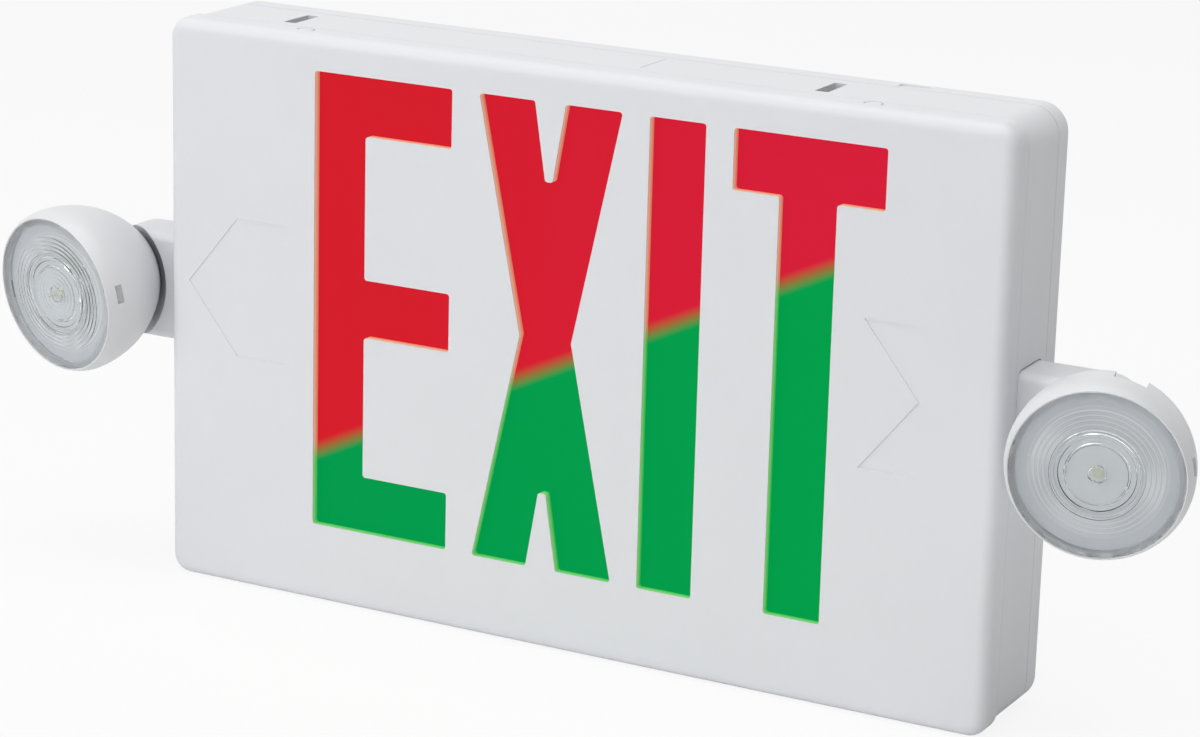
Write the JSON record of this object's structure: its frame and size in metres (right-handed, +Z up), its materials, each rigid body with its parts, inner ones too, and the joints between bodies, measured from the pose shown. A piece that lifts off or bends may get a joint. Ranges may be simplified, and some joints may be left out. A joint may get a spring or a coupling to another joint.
{
  "type": "emergency exit light",
  "caption": "White wall-mounted emergency exit light: stencil letters lit red and green, chevron arrows and a swivelling lamp head on each side.",
  "frame": {"origin": "centre of the flat wall face of the back plate", "axes": "+X to the right as seen from the room, +Y into the wall, +Z up; metres"},
  "size_m": [0.4238, 0.0619, 0.191],
  "materials": {
    "white_housing": "satin moulded, fine grain",
    "white_head": "smooth moulded",
    "white_neck": "smooth moulded",
    "sign_panel": "translucent, two colours",
    "white_reflector": "matt white",
    "white_board": "white solder mask",
    "green_board": "solder mask",
    "lamp_diode": "phosphor under clear resin",
    "ribbon_cable": "flat ribbon",
    "white_nylon": "natural nylon",
    "capacitor_sleeve": "shrink sleeve",
    "black_resin": "moulded resin",
    "core_steel": "stacked laminations",
    "coil_tape": "tape wrapped",
    "cell_wrap": "shrink wrap",
    "zinc_steel": "zinc plated",
    "button_red": "moulded",
    "pilot_red": "clear tinted",
    "head_plate": "plain sheet",
    "clear_lens": "clear moulded",
    "red_lead": "insulated lead"
  },
  "bodies": {
    "housing": {"front_faceplate": "white_housing", "housing_frame": "white_housing", "back_plate": "white_housing", "letter_diffuser": "sign_panel", "light_tray": "white_reflector", "light_strips": "white_board", "sign_diodes": "lamp_diode", "strip_ribbon": "ribbon_cable", "sign_plug": "white_nylon", "control_board": "green_board", "capacitors": "capacitor_sleeve", "lead_sockets": "white_nylon", "transistors": "black_resin", "transformer_core": "core_steel", "transformer_coil": "coil_tape", "supply_terminal": "black_resin", "battery_holder": "white_nylon", "battery_cells": "cell_wrap", "fixing_screws": "zinc_steel", "test_switch": "black_resin", "pilot_lamp": "pilot_red", "arm_block_left": "white_housing", "arm_block_right": "white_housing", "lamp_leads_left": "red_lead", "lamp_leads_right": "red_lead", "battery_leads": "red_lead"},
    "turning_neck_left": {"neck_left": "white_neck", "neck_clip_left": "zinc_steel"},
    "lamp_head_left": {"tilt_pin_left": "zinc_steel", "head_shell_left": "white_head", "head_frame_left": "head_plate", "lamp_board_left": "white_board", "lamp_diode_left": "lamp_diode", "lens_left": "clear_lens"},
    "turning_neck_right": {"neck_right": "white_neck", "neck_clip_right": "zinc_steel"},
    "lamp_head_right": {"tilt_pin_right": "zinc_steel", "head_shell_right": "white_head", "head_frame_right": "head_plate", "lamp_board_right": "white_board", "lamp_diode_right": "lamp_diode", "lens_right": "clear_lens"},
    "test_push": {"test_button": "button_red", "switch_plunger": "black_resin"}
  },
  "joints": [
    {"name": "swivel_right", "type": "hinge", "parent": "housing", "child": "turning_neck_right", "pos_m": [0.17556, -0.01088, 0.00458], "axis": [0.215, -0.97, -0.1132], "range_deg": [-170, 170]},
    {"name": "tilt_right", "type": "hinge", "parent": "turning_neck_right", "child": "lamp_head_right", "pos_m": [0.1833, -0.0458, 0.0005], "axis": [-0.9367, -0.2377, 0.2572], "range_deg": [0, 80]},
    {"name": "swivel_left", "type": "hinge", "parent": "housing", "child": "turning_neck_left", "pos_m": [-0.17556, -0.01088, 0.00458], "axis": [-0.215, -0.97, -0.1132], "range_deg": [-170, 170]},
    {"name": "tilt_left", "type": "hinge", "parent": "turning_neck_left", "child": "lamp_head_left", "pos_m": [-0.1833, -0.0458, 0.0005], "axis": [0.9494, -0.1805, -0.2572], "range_deg": [0, 80]},
    {"name": "test_button", "type": "slide", "parent": "housing", "child": "test_push", "axis": [0, 0, 1], "range_m": [0, 0.0015], "stiffness_N_per_m": 300}
  ]
}
